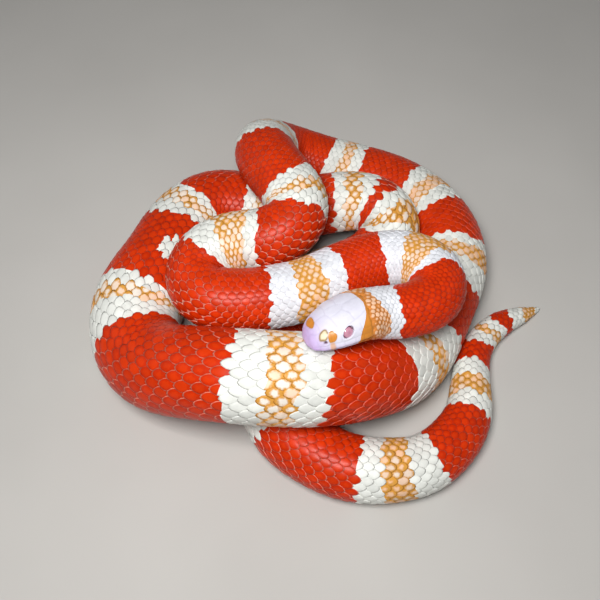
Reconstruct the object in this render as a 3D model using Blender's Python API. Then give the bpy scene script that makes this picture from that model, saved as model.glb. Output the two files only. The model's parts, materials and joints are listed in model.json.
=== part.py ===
"""A milk snake at rest in a coil, life size, as solids for its head, neck, body and tail.

Sizes and places are in millimetres and become metres when a mesh is made. The body is one long
loft along a route. It is parted by thin gaps into the lengths that a person would name.
"""
import bmesh
import bpy
import numpy as np
from mathutils import Vector

MM = 0.001
SEAM = 0.3
RING_SPACING = 4.8
BODY_SIDES = 20
HEAD_SIDES = 32

# The route of the body's middle, in x and y, with the height of the belly over the floor.
# It runs from the tip of the tail to the tip of the snout.
TAIL = [(86, -4, 0), (78, -8, 0), (69.5, -12.5, 0), (61, -21.8, 0), (57, -35, 0), (55, -46, 0),
        (48, -57, 0), (38, -64, 0), (27, -66, 0), (15, -65, 0), (4, -60, 0)]
UNDER_THE_FRONT = [(-6, -51, 0), (-10, -40, 0), (-11, -27, 0), (-8, -14, 0), (0, -2, 0), (11, 5, 0)]
NEAR_HAIRPIN = [(21, 7.5, 3), (28.5, 11, 8), (31.5, 18.5, 12), (27, 25.5, 13.5), (14, 28.7, 11.5), (-2, 31, 4)]
FAR_LEFT = [(-17, 34, 0), (-31, 34.5, 0), (-41, 26.5, 0), (-48, 10, 0), (-54, -5, 0), (-55.6, -17.6, 0)]
OVER_THE_TAIL = [(-49.5, -31, 3), (-36, -39.5, 12), (-20, -44, 19), (-5, -45.5, 20), (10, -44, 17),
                 (23, -39, 10), (32, -33, 4), (39.2, -24, 0)]
OUTER_RIGHT = [(46.7, -9, 0), (53, 7, 0), (53, 19, 0), (48.3, 30.8, 0), (39, 41, 0), (23, 49.2, 0), (8, 55, 0)]
CLIMBING_HAIRPIN = [(-2.5, 57.5, 3), (-10.5, 53.5, 12), (-12.5, 43, 21.5), (-9, 33, 25), (-4, 24.5, 26)]
MIDDLE_BEND = [(-1, 16, 26), (-3.5, 9, 25), (-11, 5, 23.5)]
LEFT_LOOP = [(-20, 4.5, 22), (-29, 1.2, 21), (-33.5, -7.2, 20.3), (-29.6, -15, 21), (-20, -17.5, 21.5)]
TOP_LENGTH = [(-9, -16.5, 22), (3, -13.5, 22.5), (14, -8.5, 24), (25, -5, 25.5)]
NECK = [(35.5, -6, 27.5), (42, -12.5, 29.5), (41.5, -20.5, 31), (35.5, -26, 33)]
HEAD = [(27.5, -28.2, 34.2), (19.5, -30.4, 37.8), (11, -35.6, 42.1), (1.6, -40, 45.6)]
ROUTE = (TAIL + UNDER_THE_FRONT + NEAR_HAIRPIN + FAR_LEFT + OVER_THE_TAIL + OUTER_RIGHT
         + CLIMBING_HAIRPIN + MIDDLE_BEND + LEFT_LOOP + TOP_LENGTH + NECK + HEAD)
BOX_MIDDLE = (7.5, -3.8)

# Distance from the tip of the tail, and the body's half width there.
GIRTH = [(0, 0.8), (8, 3.0), (17, 4.5), (32, 5.4), (48, 6.8), (65, 8.4), (95, 10.2), (122, 10.8), (240, 10.5),
         (270, 11.8), (300, 13.3), (345, 15.4), (385, 14.5), (430, 14.3), (470, 13.7), (510, 13.1), (545, 12.3),
         (580, 11.8), (610, 11.0), (650, 10.6), (700, 10.4), (745, 10.2), (780, 9.4), (800, 8.8), (820, 8.4)]
BACK = 0.94
BELLY = 0.87
BELLY_FLATNESS = 0.8
SETTLE = 0.15
FOLD_ROOM = 0.9

# The head leans over to its right, because it lies on the slope of the length under it.
HEAD_ROLL = 25.0
ROLL_LENGTH = 75.0

# The head, by distance back from the snout: half width, height above and depth below its
# widest level, and how square its section is.
HEAD_SECTIONS = [(0.0, 2.8, 1.2, 1.2, 2.2), (0.5, 4.1, 2.0, 1.8, 2.2), (1.5, 5.3, 3.1, 2.4, 2.3),
                 (3.0, 6.3, 4.2, 3.0, 2.4), (5.0, 7.1, 5.1, 3.6, 2.5), (8.0, 8.0, 5.8, 4.3, 2.5),
                 (11.0, 8.7, 6.3, 4.9, 2.5), (14.0, 9.2, 6.7, 5.3, 2.4), (18.0, 9.5, 7.1, 5.8, 2.3),
                 (22.0, 9.1, 7.4, 6.4, 2.1), (26.0, 8.4, 7.7, 7.0, 2.0)]
HEAD_LENGTH = HEAD_SECTIONS[-1][0]
HEAD_SPACING = 1.3
MOUTH_LEVEL = -1.4
MOUTH_GAP = 0.3
MOUTH_CORNER = 16.0
MOUTH_RISE = 0.1
JAW_BACK = 19.5
JAW_FLOOR = -10.0
MOUTH_ORIGIN = 8.0
MOUTH_REACH = 12.0
MOUTH_FRONT = -3.0
LIP_SWELL = 0.25
LIP_HEIGHT = 0.9
JAW_INSET = 0.5
JAW_FADE = 6.0
EYE_BACK = 10.1
EYE_OUT = 6.4
EYE_UP = 2.2
EYE_RADIUS = 2.0
SOCKET_GAP = 0.3
NOSTRIL_BACK = 4.2
NOSTRIL_UP = 1.6
NOSTRIL_RADIUS = 0.55
NOSTRIL_DEPTH = 0.9
NOSTRIL_INSET = 0.25
NOSTRIL_DROP = 0.35
NOSTRIL_LEAN = 0.25

# The name of each length and the distance from the tip of the tail at which it ends.
LENGTHS = [("tail_tip", 40), ("tail_middle", 86), ("tail_base", 132), ("body_01", 172), ("body_02", 206),
           ("body_03", 244), ("body_04", 282), ("body_05", 322), ("body_06", 362), ("body_07", 402),
           ("body_08", 442), ("body_09", 482), ("body_10", 522), ("body_11", 562), ("body_12", 598),
           ("body_13", 636), ("body_14", 680), ("body_15", 722), ("body_16", 764), ("neck_rear", 800)]

RED = (0.72, 0.05, 0.01, 1.0)
WHITE = (0.80, 0.76, 0.68, 1.0)
PINK = (0.55, 0.22, 0.28, 1.0)
SCALE_ROUGHNESS = 0.38
PLATE_ROUGHNESS = 0.32
EYE_ROUGHNESS = 0.08


def natural_spline(knots, values):
    """Return a smooth curve through the values, with no bend at its ends."""
    count = len(knots)
    step = np.diff(knots)
    slopes = np.diff(values, axis=0) / step[:, None]
    system = np.eye(count)
    wanted = np.zeros_like(values)
    for i in range(1, count - 1):
        system[i, i - 1:i + 2] = step[i - 1], 2 * (step[i - 1] + step[i]), step[i]
        wanted[i] = 6 * (slopes[i] - slopes[i - 1])
    bend = np.linalg.solve(system, wanted)

    def curve(x):
        x = np.atleast_1d(x)
        i = np.clip(np.searchsorted(knots, x) - 1, 0, count - 2)
        width = step[i][:, None]
        before = (knots[i + 1] - x)[:, None]
        after = (x - knots[i])[:, None]
        ends = bend[i] * before ** 3 + bend[i + 1] * after ** 3
        return (ends / (6 * width) + (values[i] / width - bend[i] * width / 6) * before
                + (values[i + 1] / width - bend[i + 1] * width / 6) * after)

    return curve


def section_sizes(distance, total):
    """Return half width, height, depth and squareness of the sections at these distances."""
    girth = np.array(GIRTH, float)
    half = np.interp(distance, girth[:, 0], girth[:, 1])
    body = np.stack([half, BACK * half, BELLY * half, np.full_like(half, 2.0)], axis=1)
    table = np.array(HEAD_SECTIONS, float)
    from_snout = np.clip(total - distance, 0, HEAD_LENGTH)
    head = natural_spline(table[:, 0], table[:, 1:])(from_snout)
    return np.where((total - distance < HEAD_LENGTH)[:, None], head, body)


def trace_route():
    """Return the body's length and a function that gives the middle and its frame at a distance."""
    points = np.array(ROUTE, float)
    points[:, :2] -= BOX_MIDDLE
    knots = np.concatenate([[0], np.cumsum(np.linalg.norm(np.diff(points, axis=0), axis=1))])
    belly = natural_spline(knots, points)
    fine = np.linspace(0, knots[-1], 4000)
    steps = np.linalg.norm(np.diff(belly(fine), axis=0), axis=1)
    distance = np.concatenate([[0], np.cumsum(steps)])
    total = distance[-1]
    depth = section_sizes(np.interp(knots, fine, distance), total)[:, 2]
    points[:, 2] += depth - SETTLE
    middle = natural_spline(knots, points)

    def frame(s):
        reach = 0.5
        inner = np.clip(s, reach, total - reach)
        here = middle(np.interp(np.clip(s, 0, total), distance, fine))
        back, ahead = (middle(np.interp(inner + d, distance, fine)) for d in (-reach, reach))
        forward = ahead - back
        forward /= np.linalg.norm(forward, axis=1)[:, None]
        left = np.cross([0, 0, 1.0], forward)
        left /= np.linalg.norm(left, axis=1)[:, None]
        centre = middle(np.interp(inner, distance, fine))
        turn = ((ahead + back - 2 * centre) * left).sum(axis=1) / reach ** 2
        fade = np.clip((s - total + ROLL_LENGTH) / (ROLL_LENGTH - HEAD_LENGTH), 0, 1)
        roll = np.radians(HEAD_ROLL * fade ** 2 * (3 - 2 * fade))[:, None]
        up = np.cross(forward, left)
        left, up = left * np.cos(roll) + up * np.sin(roll), up * np.cos(roll) - left * np.sin(roll)
        return here, forward, left, up, turn

    return total, frame


def smooth_turn(frame, s):
    """Return how sharply the body turns to its left, evened out over a few millimetres."""
    return np.mean([frame(s + d)[4] for d in (-3, -1.5, 0, 1.5, 3)], axis=0)


def rings(s, total, frame, sides):
    """Return the outline points of the sections at these distances."""
    here, _, left, up, _ = frame(s)
    half, height, depth, square = section_sizes(s, total).T[:, :, None]
    angle = np.arange(sides) * 2 * np.pi / sides
    sine, cosine = np.sin(angle)[None], np.cos(angle)[None]
    back = cosine > 0
    out = half * np.sign(sine) * np.abs(sine) ** np.where(back, 2 / square, 1.0)
    rise = np.where(back, height * np.abs(cosine) ** (2 / square), -depth * np.abs(cosine) ** BELLY_FLATNESS)
    from_snout = (total - s)[:, None]
    lip = LIP_SWELL * np.exp(-((rise - MOUTH_LEVEL - LIP_HEIGHT) / LIP_HEIGHT) ** 2)
    jaw = JAW_INSET * np.clip((MOUTH_LEVEL - rise) / LIP_HEIGHT, 0, 1)
    shift = (lip - jaw) * np.clip((JAW_BACK - from_snout) / JAW_FADE, 0, 1)
    out = out + np.sign(out) * shift * (np.abs(out) > 0.5 * half)
    turn = smooth_turn(frame, s)[:, None]
    room = FOLD_ROOM / np.maximum(np.abs(turn), 1e-6)
    inner = np.sign(out) == np.sign(turn)
    out = np.where(inner, out * np.minimum(1, room / half), out)
    points = here[:, None] + out[..., None] * left[:, None] + rise[..., None] * up[:, None]
    points[..., 2] = np.maximum(points[..., 2], 0)
    return points


def loft(name, start, end, spacing, total, frame, sides):
    """Make a closed mesh through the sections between two distances."""
    count = max(3, int(round((end - start) / spacing)) + 1)
    outline = rings(np.linspace(start, end, count), total, frame, sides)
    mesh = bmesh.new()
    rows = [[mesh.verts.new(point * MM) for point in ring] for ring in outline]
    for row, following in zip(rows, rows[1:]):
        for k in range(sides):
            mesh.faces.new((row[k], row[k - 1], following[k - 1], following[k]))
    for ring, row in ((outline[0], rows[0]), (outline[-1], rows[-1])):
        centre = mesh.verts.new(ring.mean(axis=0) * MM)
        for k in range(sides):
            mesh.faces.new((row[k - 1], row[k], centre))
    bmesh.ops.recalc_face_normals(mesh, faces=mesh.faces)
    return object_from(mesh, name)


def object_from(mesh, name, collection="milk_snake"):
    """Turn a bmesh into an object in a collection."""
    data = bpy.data.meshes.new(name)
    mesh.to_mesh(data)
    mesh.free()
    data.shade_smooth()
    item = bpy.data.objects.new(name, data)
    bpy.data.collections[collection].objects.link(item)
    return item


def paint(item, label, colour, roughness):
    """Give an object its material, made once for each label."""
    material = bpy.data.materials.get(label) or bpy.data.materials.new(label)
    material.use_nodes = True
    shader = material.node_tree.nodes["Principled BSDF"]
    shader.inputs["Base Color"].default_value = colour
    shader.inputs["Roughness"].default_value = roughness
    shader.inputs["Metallic"].default_value = 0.0
    item.data.materials.clear()
    item.data.materials.append(material)


def head_point(back, left_out, up_out, total, frame):
    """Return a place on the head from its distance back, to the left and up."""
    here, _, left, up, _ = frame(np.array([total - back]))
    return here[0] + left_out * left[0] + up_out * up[0]


def sphere(name, place, radius, collection="milk_snake"):
    """Add a ball to a collection."""
    mesh = bmesh.new()
    bmesh.ops.create_uvsphere(mesh, u_segments=20, v_segments=12, radius=radius * MM)
    bmesh.ops.translate(mesh, verts=mesh.verts, vec=Vector(place * MM))
    return object_from(mesh, name, collection)


def nostril_cutter(side, total, frame):
    """Add a short rod that points into the snout, to cut a nostril with."""
    here, forward, left, up, _ = frame(np.array([total - NOSTRIL_BACK]))
    half = section_sizes(np.array([total - NOSTRIL_BACK]), total)[0, 0]
    inward = -side * left[0] - NOSTRIL_DROP * up[0] + NOSTRIL_LEAN * forward[0]
    inward /= np.linalg.norm(inward)
    skin = here[0] + side * (half - NOSTRIL_INSET) * left[0] + NOSTRIL_UP * up[0]
    mesh = bmesh.new()
    bmesh.ops.create_cone(mesh, cap_ends=True, segments=10, radius1=NOSTRIL_RADIUS * MM,
                          radius2=NOSTRIL_RADIUS * MM, depth=2 * NOSTRIL_DEPTH * MM)
    turn = Vector((0, 0, 1)).rotation_difference(Vector(inward)).to_matrix()
    bmesh.ops.rotate(mesh, verts=mesh.verts, cent=(0, 0, 0), matrix=turn)
    bmesh.ops.translate(mesh, verts=mesh.verts, vec=Vector(skin * MM))
    return object_from(mesh, "nostril_cutter", "cutters")


def mouth_cutter(total, frame):
    """Add the thin bent sheet that parts the lower jaw from the head."""
    line = [(MOUTH_FRONT, MOUTH_LEVEL), (0.25 * MOUTH_CORNER, MOUTH_LEVEL),
            (0.5 * MOUTH_CORNER, MOUTH_LEVEL + 0.2 * MOUTH_RISE),
            (0.75 * MOUTH_CORNER, MOUTH_LEVEL + 0.6 * MOUTH_RISE),
            (MOUTH_CORNER, MOUTH_LEVEL + MOUTH_RISE), (JAW_BACK, JAW_FLOOR)]
    here, forward, left, up, _ = frame(np.array([total - MOUTH_ORIGIN]))
    snout = here[0] + MOUTH_ORIGIN * forward[0]
    mesh = bmesh.new()
    rows = []
    for back, level in line:
        at_jaw_end = back == JAW_BACK
        gap = MOUTH_GAP * (-forward[0] if at_jaw_end else up[0])
        row = []
        for side in (-1, 1):
            low = snout - back * forward[0] + level * up[0] + side * MOUTH_REACH * left[0]
            row += [mesh.verts.new(low * MM), mesh.verts.new((low + gap) * MM)]
        rows.append(row)
    for (a, b, c, d), (e, f, g, h) in zip(rows, rows[1:]):
        mesh.faces.new((a, e, g, c))
        mesh.faces.new((b, d, h, f))
        mesh.faces.new((a, b, f, e))
        mesh.faces.new((c, g, h, d))
    for a, b, c, d in (rows[0], rows[-1]):
        mesh.faces.new((a, c, d, b))
    bmesh.ops.recalc_face_normals(mesh, faces=mesh.faces)
    return object_from(mesh, "mouth_cutter", "cutters")


def cut(item, cutters):
    """Take the cutters away from an object for good, and remove them."""
    for cutter in cutters:
        modifier = item.modifiers.new("cut", "BOOLEAN")
        modifier.operation = "DIFFERENCE"
        modifier.object = cutter
    evaluated = item.evaluated_get(bpy.context.evaluated_depsgraph_get())
    data = bpy.data.meshes.new_from_object(evaluated)
    item.modifiers.clear()
    item.data = data
    for cutter in cutters:
        bpy.data.objects.remove(cutter)


def part_lower_jaw(head):
    """Move the loose lower jaw out of the head's mesh into an object of its own."""
    mesh = bmesh.new()
    mesh.from_mesh(head.data)
    mesh.verts.ensure_lookup_table()
    crown = max(mesh.verts, key=lambda vert: vert.co.z)
    grown = {crown}
    waiting = [crown]
    while waiting:
        vert = waiting.pop()
        for link in vert.link_edges:
            other = link.other_vert(vert)
            if other not in grown:
                grown.add(other)
                waiting.append(other)
    jaw = mesh.copy()
    jaw.verts.ensure_lookup_table()
    bmesh.ops.delete(jaw, geom=[jaw.verts[vert.index] for vert in grown], context="VERTS")
    bmesh.ops.delete(mesh, geom=[vert for vert in mesh.verts if vert not in grown], context="VERTS")
    mesh.to_mesh(head.data)
    mesh.free()
    return object_from(jaw, "lower_jaw")


def build_lengths(total, frame):
    """Make the tail, the body and the neck."""
    ends = LENGTHS + [("neck_front", total - HEAD_LENGTH)]
    start = -SEAM / 2
    for name, end in ends:
        length = loft(name, start + SEAM / 2, end - SEAM / 2, RING_SPACING, total, frame, BODY_SIDES)
        paint(length, "banded_scales", RED, SCALE_ROUGHNESS)
        start = end


def build_head(total, frame):
    """Make the head with its mouth line, nostrils and sockets, the lower jaw and the eyes."""
    head = loft("head", total - HEAD_LENGTH + SEAM / 2, total, HEAD_SPACING, total, frame, HEAD_SIDES)
    cutters = [mouth_cutter(total, frame)]
    for side, word in ((1, "left"), (-1, "right")):
        place = head_point(EYE_BACK, side * EYE_OUT, EYE_UP, total, frame)
        cutters.append(sphere("socket_cutter", place, EYE_RADIUS + SOCKET_GAP, "cutters"))
        cutters.append(nostril_cutter(side, total, frame))
        eye = sphere("eye_" + word, place, EYE_RADIUS)
        paint(eye, "eye", PINK, EYE_ROUGHNESS)
    cut(head, cutters)
    jaw = part_lower_jaw(head)
    paint(head, "head_plates", WHITE, PLATE_ROUGHNESS)
    paint(jaw, "head_plates", WHITE, PLATE_ROUGHNESS)


def main():
    """Build the whole snake."""
    for item in list(bpy.data.objects):
        bpy.data.objects.remove(item)
    for name in ("milk_snake", "cutters"):
        bpy.context.scene.collection.children.link(bpy.data.collections.new(name))
    total, frame = trace_route()
    build_lengths(total, frame)
    build_head(total, frame)


main()
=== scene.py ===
# %% [markdown]
# A milk snake at rest, dressed in its scales.
# The animal is one smooth muscular tube that lies in a coil. Horny scales cover it like roof tiles,
# broad plates cross the belly, and larger plates fit together on the head like paving. The frame holds
# plain solids of each length of the body. This notebook covers them with one skin, lays each scale on
# it as a thin solid tile, carves the plates of the head, sets in the eyes and lights the whole softly.

# %% Load the frame
import json

import bpy
import numpy as np
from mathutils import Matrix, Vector

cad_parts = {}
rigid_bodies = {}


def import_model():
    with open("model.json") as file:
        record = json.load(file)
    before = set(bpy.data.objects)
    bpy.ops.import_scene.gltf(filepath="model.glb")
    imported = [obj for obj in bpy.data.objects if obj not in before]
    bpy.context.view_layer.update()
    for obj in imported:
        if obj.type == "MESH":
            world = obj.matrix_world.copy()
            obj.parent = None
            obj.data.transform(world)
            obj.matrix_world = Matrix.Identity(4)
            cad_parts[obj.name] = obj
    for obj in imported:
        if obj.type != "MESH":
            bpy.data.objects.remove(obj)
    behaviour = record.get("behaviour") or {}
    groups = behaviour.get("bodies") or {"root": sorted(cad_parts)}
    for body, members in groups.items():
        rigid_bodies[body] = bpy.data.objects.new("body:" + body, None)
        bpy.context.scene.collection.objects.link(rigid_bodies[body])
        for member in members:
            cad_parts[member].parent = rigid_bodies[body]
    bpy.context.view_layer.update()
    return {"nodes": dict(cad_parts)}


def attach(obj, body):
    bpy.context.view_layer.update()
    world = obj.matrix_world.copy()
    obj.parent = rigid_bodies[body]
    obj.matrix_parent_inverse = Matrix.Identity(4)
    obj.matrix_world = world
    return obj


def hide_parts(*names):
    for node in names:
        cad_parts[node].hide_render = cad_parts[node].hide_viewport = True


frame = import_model()
MM = 0.001
TINY = 1e-9
print("solids in the frame:", len(frame["nodes"]))

# %% [markdown]
# The line of the body.
# A snake's pose is the path of its backbone. The path here is the one that the solids follow: places on
# the floor plan, each with the height of the belly there, from the tip of the tail to the snout. A smooth
# curve through so few places bends as a real body does, with no kinks. Sizes are in millimetres.

# %% The route and the girth
TAIL = [(86, -4, 0), (78, -8, 0), (69.5, -12.5, 0), (61, -21.8, 0), (57, -35, 0), (55, -46, 0),
        (48, -57, 0), (38, -64, 0), (27, -66, 0), (15, -65, 0), (4, -60, 0)]
UNDER_THE_FRONT = [(-6, -51, 0), (-10, -40, 0), (-11, -27, 0), (-8, -14, 0), (0, -2, 0), (11, 5, 0)]
NEAR_HAIRPIN = [(21, 7.5, 3), (28.5, 11, 8), (31.5, 18.5, 12), (27, 25.5, 13.5), (14, 28.7, 11.5),
                (-2, 31, 4)]
FAR_LEFT = [(-17, 34, 0), (-31, 34.5, 0), (-41, 26.5, 0), (-48, 10, 0), (-54, -5, 0), (-55.6, -17.6, 0)]
OVER_THE_TAIL = [(-49.5, -31, 3), (-36, -39.5, 12), (-20, -44, 19), (-5, -45.5, 20), (10, -44, 17),
                 (23, -39, 10), (32, -33, 4), (39.2, -24, 0)]
OUTER_RIGHT = [(46.7, -9, 0), (53, 7, 0), (53, 19, 0), (48.3, 30.8, 0), (39, 41, 0), (23, 49.2, 0),
               (8, 55, 0)]
CLIMBING_HAIRPIN = [(-2.5, 57.5, 3), (-10.5, 53.5, 12), (-12.5, 43, 21.5), (-9, 33, 25), (-4, 24.5, 26)]
MIDDLE_BEND = [(-1, 16, 26), (-3.5, 9, 25), (-11, 5, 23.5)]
LEFT_LOOP = [(-20, 4.5, 22), (-29, 1.2, 21), (-33.5, -7.2, 20.3), (-29.6, -15, 21), (-20, -17.5, 21.5)]
TOP_LENGTH = [(-9, -16.5, 22), (3, -13.5, 22.5), (14, -8.5, 24), (25, -5, 25.5)]
NECK = [(35.5, -6, 27.5), (42, -12.5, 29.5), (41.5, -20.5, 31), (35.5, -26, 33)]
HEAD = [(27.5, -28.2, 34.2), (19.5, -30.4, 37.8), (11, -35.6, 42.1), (1.6, -40, 45.6)]
ROUTE = (TAIL + UNDER_THE_FRONT + NEAR_HAIRPIN + FAR_LEFT + OVER_THE_TAIL + OUTER_RIGHT
         + CLIMBING_HAIRPIN + MIDDLE_BEND + LEFT_LOOP + TOP_LENGTH + NECK + HEAD)
BOX_MIDDLE = (7.5, -3.8)
SETTLE = 0.15

# Distance from the tip of the tail, and the body's half width there.
GIRTH = [(0, 0.8), (8, 3.0), (17, 4.5), (32, 5.4), (48, 6.8), (65, 8.4), (95, 10.2), (122, 10.8),
         (240, 10.5), (270, 11.8), (300, 13.3), (345, 15.4), (385, 14.5), (430, 14.3), (470, 13.7),
         (510, 13.1), (545, 12.3), (580, 11.8), (610, 11.0), (650, 10.6), (700, 10.4), (745, 10.2),
         (780, 9.4), (800, 8.8), (820, 8.4)]
BACK = 0.94
BELLY = 0.87
BELLY_FLATNESS = 0.8
FOLD_ROOM = 0.9
# A bend is read at these distances to each side and evened out.
BEND_PLACES = (-3, -1.5, 0, 1.5, 3)
HEAD_ROLL = 25.0
ROLL_LENGTH = 75.0

# Distance back from the snout: half width, height above and depth below the widest level, squareness.
HEAD_SECTIONS = [(0.0, 2.8, 1.2, 1.2, 2.2), (0.5, 4.1, 2.0, 1.8, 2.2), (1.5, 5.3, 3.1, 2.4, 2.3),
                 (3.0, 6.3, 4.2, 3.0, 2.4), (5.0, 7.1, 5.1, 3.6, 2.5), (8.0, 8.0, 5.8, 4.3, 2.5),
                 (11.0, 8.7, 6.3, 4.9, 2.5), (14.0, 9.2, 6.7, 5.3, 2.4), (18.0, 9.5, 7.1, 5.8, 2.3),
                 (22.0, 9.1, 7.4, 6.4, 2.1), (26.0, 8.4, 7.7, 7.0, 2.0)]
HEAD_LENGTH = HEAD_SECTIONS[-1][0]
MOUTH_LEVEL = -1.4
LIP_SWELL = 0.25
LIP_HEIGHT = 0.9
JAW_INSET = 0.5
JAW_BACK = 19.5
JAW_FADE = 6.0
# The lip's swell and the jaw's inset start at this share of the half width, and are full this much further.
LIP_START = 0.4
LIP_SPREAD = 0.2
ROUTE_SAMPLES = 4000


def unit(vectors):
    """Return the vectors at a length of one."""
    return vectors / np.maximum(np.linalg.norm(vectors, axis=-1, keepdims=True), TINY)


def natural_spline(knots, values):
    """Return a smooth curve through the values, with no bend at its ends."""
    count = len(knots)
    step = np.diff(knots)
    slopes = np.diff(values, axis=0) / step[:, None]
    system = np.eye(count)
    wanted = np.zeros_like(values)
    for i in range(1, count - 1):
        system[i, i - 1:i + 2] = step[i - 1], 2 * (step[i - 1] + step[i]), step[i]
        wanted[i] = 6 * (slopes[i] - slopes[i - 1])
    bend = np.linalg.solve(system, wanted)

    def curve(x):
        x = np.atleast_1d(x)
        i = np.clip(np.searchsorted(knots, x) - 1, 0, count - 2)
        width = step[i][:, None]
        before = (knots[i + 1] - x)[:, None]
        after = (x - knots[i])[:, None]
        ends = bend[i] * before ** 3 + bend[i + 1] * after ** 3
        return (ends / (6 * width) + (values[i] / width - bend[i] * width / 6) * before
                + (values[i + 1] / width - bend[i + 1] * width / 6) * after)

    return curve


def section_sizes(distance, total):
    """Return half width, height, depth and squareness of the sections at these distances."""
    girth = np.array(GIRTH, float)
    half = np.interp(distance, girth[:, 0], girth[:, 1])
    body = np.stack([half, BACK * half, BELLY * half, np.full_like(half, 2.0)], axis=1)
    table = np.array(HEAD_SECTIONS, float)
    from_snout = np.clip(total - distance, 0, HEAD_LENGTH)
    head = natural_spline(table[:, 0], table[:, 1:])(from_snout)
    return np.where((total - distance < HEAD_LENGTH)[:, None], head, body)


def trace_route():
    """Return the body's length and a function that gives the middle and its axes at a distance."""
    points = np.array(ROUTE, float)
    points[:, :2] -= BOX_MIDDLE
    knots = np.concatenate([[0], np.cumsum(np.linalg.norm(np.diff(points, axis=0), axis=1))])
    belly = natural_spline(knots, points)
    fine = np.linspace(0, knots[-1], ROUTE_SAMPLES)
    steps = np.linalg.norm(np.diff(belly(fine), axis=0), axis=1)
    distance = np.concatenate([[0], np.cumsum(steps)])
    length = distance[-1]
    depth = section_sizes(np.interp(knots, fine, distance), length)[:, 2]
    points[:, 2] += depth - SETTLE
    middle = natural_spline(knots, points)

    def axes(s):
        reach = 0.5
        inner = np.clip(s, reach, length - reach)
        here = middle(np.interp(np.clip(s, 0, length), distance, fine))
        back, ahead = (middle(np.interp(inner + d, distance, fine)) for d in (-reach, reach))
        forward = unit(ahead - back)
        left = unit(np.cross([0, 0, 1.0], forward))
        centre = middle(np.interp(inner, distance, fine))
        turn = ((ahead + back - 2 * centre) * left).sum(axis=1) / reach ** 2
        fade = np.clip((s - length + ROLL_LENGTH) / (ROLL_LENGTH - HEAD_LENGTH), 0, 1)
        roll = np.radians(HEAD_ROLL * fade ** 2 * (3 - 2 * fade))[:, None]
        up = np.cross(forward, left)
        left, up = left * np.cos(roll) + up * np.sin(roll), up * np.cos(roll) - left * np.sin(roll)
        return here, forward, left, up, turn

    return length, axes


TOTAL, axes_at = trace_route()
print("length of the body in mm:", round(TOTAL, 1))

# %% [markdown]
# The outer surface as a map.
# Each place on the body has two numbers, as on a map: s, the distance from the tip of the tail, and an
# angle round the body, 0 on the back, positive to the left and 180 under the belly. Scales, markings and
# skin all use this map, so they agree everywhere. The section leans inwards on the inner side of a bend.


# %% Sections and the sampled surface
def outline(s, angle):
    """Return the surface's points, how far out and how far up they are, for distances and angles."""
    here, _, left, up, _ = axes_at(s)
    half, height, depth, square = section_sizes(s, TOTAL).T[:, :, None]
    sine = np.sin(np.radians(angle))
    cosine = np.cos(np.radians(angle))
    back = cosine > 0
    out = half * np.sign(sine) * np.abs(sine) ** np.where(back, 2 / square, 1.0)
    rise = np.where(back, height * np.abs(cosine) ** (2 / square), -depth * np.abs(cosine) ** BELLY_FLATNESS)
    from_snout = (TOTAL - s)[:, None]
    lip = LIP_SWELL * np.exp(-((rise - MOUTH_LEVEL - LIP_HEIGHT) / LIP_HEIGHT) ** 2)
    jaw = JAW_INSET * np.clip((MOUTH_LEVEL - rise) / LIP_HEIGHT, 0, 1)
    shift = (lip - jaw) * np.clip((JAW_BACK - from_snout) / JAW_FADE, 0, 1)
    out = out + np.sign(out) * shift * np.clip((np.abs(out) / half - LIP_START) / LIP_SPREAD, 0, 1)
    turn = np.mean([axes_at(s + d)[4] for d in BEND_PLACES], axis=0)[:, None]
    room = FOLD_ROOM / np.maximum(np.abs(turn), 1e-6)
    inner = np.sign(out) == np.sign(turn)
    out = np.where(inner, out * np.minimum(1, room / half), out)
    points = here[:, None] + out[..., None] * left[:, None] + rise[..., None] * up[:, None]
    return points, out, rise


def way_out(points):
    """Return the unit normals of a grid of points that runs from tail to snout and round from the left."""
    along = np.gradient(points, axis=0)
    across = np.roll(points, -1, axis=1) - np.roll(points, 1, axis=1)
    return unit(np.cross(along, across))


MAP_STEP = 0.5
MAP_SIDES = 240
MAP_ROWS = int(TOTAL / MAP_STEP) + 1
map_s = np.linspace(0, TOTAL, MAP_ROWS)
map_points = outline(map_s, np.arange(MAP_SIDES)[None] * 360 / MAP_SIDES)[0]
map_stretch = np.linalg.norm(np.gradient(map_points, map_s, axis=0), axis=2)
SURFACE = np.concatenate([map_points, way_out(map_points), map_stretch[..., None]], axis=2)


def surface(s, angle):
    """Return place, way out and stretch along the body for any distances and angles of equal shape."""
    row = np.clip(s / TOTAL, 0, 1) * (MAP_ROWS - 1)
    i = np.minimum(row.astype(int), MAP_ROWS - 2)
    column = (angle / 360 * MAP_SIDES) % MAP_SIDES
    k = column.astype(int) % MAP_SIDES
    following = (k + 1) % MAP_SIDES
    a = (row - i)[..., None]
    b = (column - np.floor(column))[..., None]
    found = ((1 - a) * ((1 - b) * SURFACE[i, k] + b * SURFACE[i, following])
             + a * ((1 - b) * SURFACE[i + 1, k] + b * SURFACE[i + 1, following]))
    return found[..., :3], unit(found[..., 3:6]), found[..., 6]


print("places on the map:", MAP_ROWS * MAP_SIDES)

# %% [markdown]
# The markings.
# This colour form has no black. Broad red lengths are parted by rings of white, orange and white. Each
# scale has mostly one colour, so that a ring's edge is a row of small steps. The rings are a list of
# distances measured along the back. A small wave moves each edge to and fro round the body.

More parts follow.
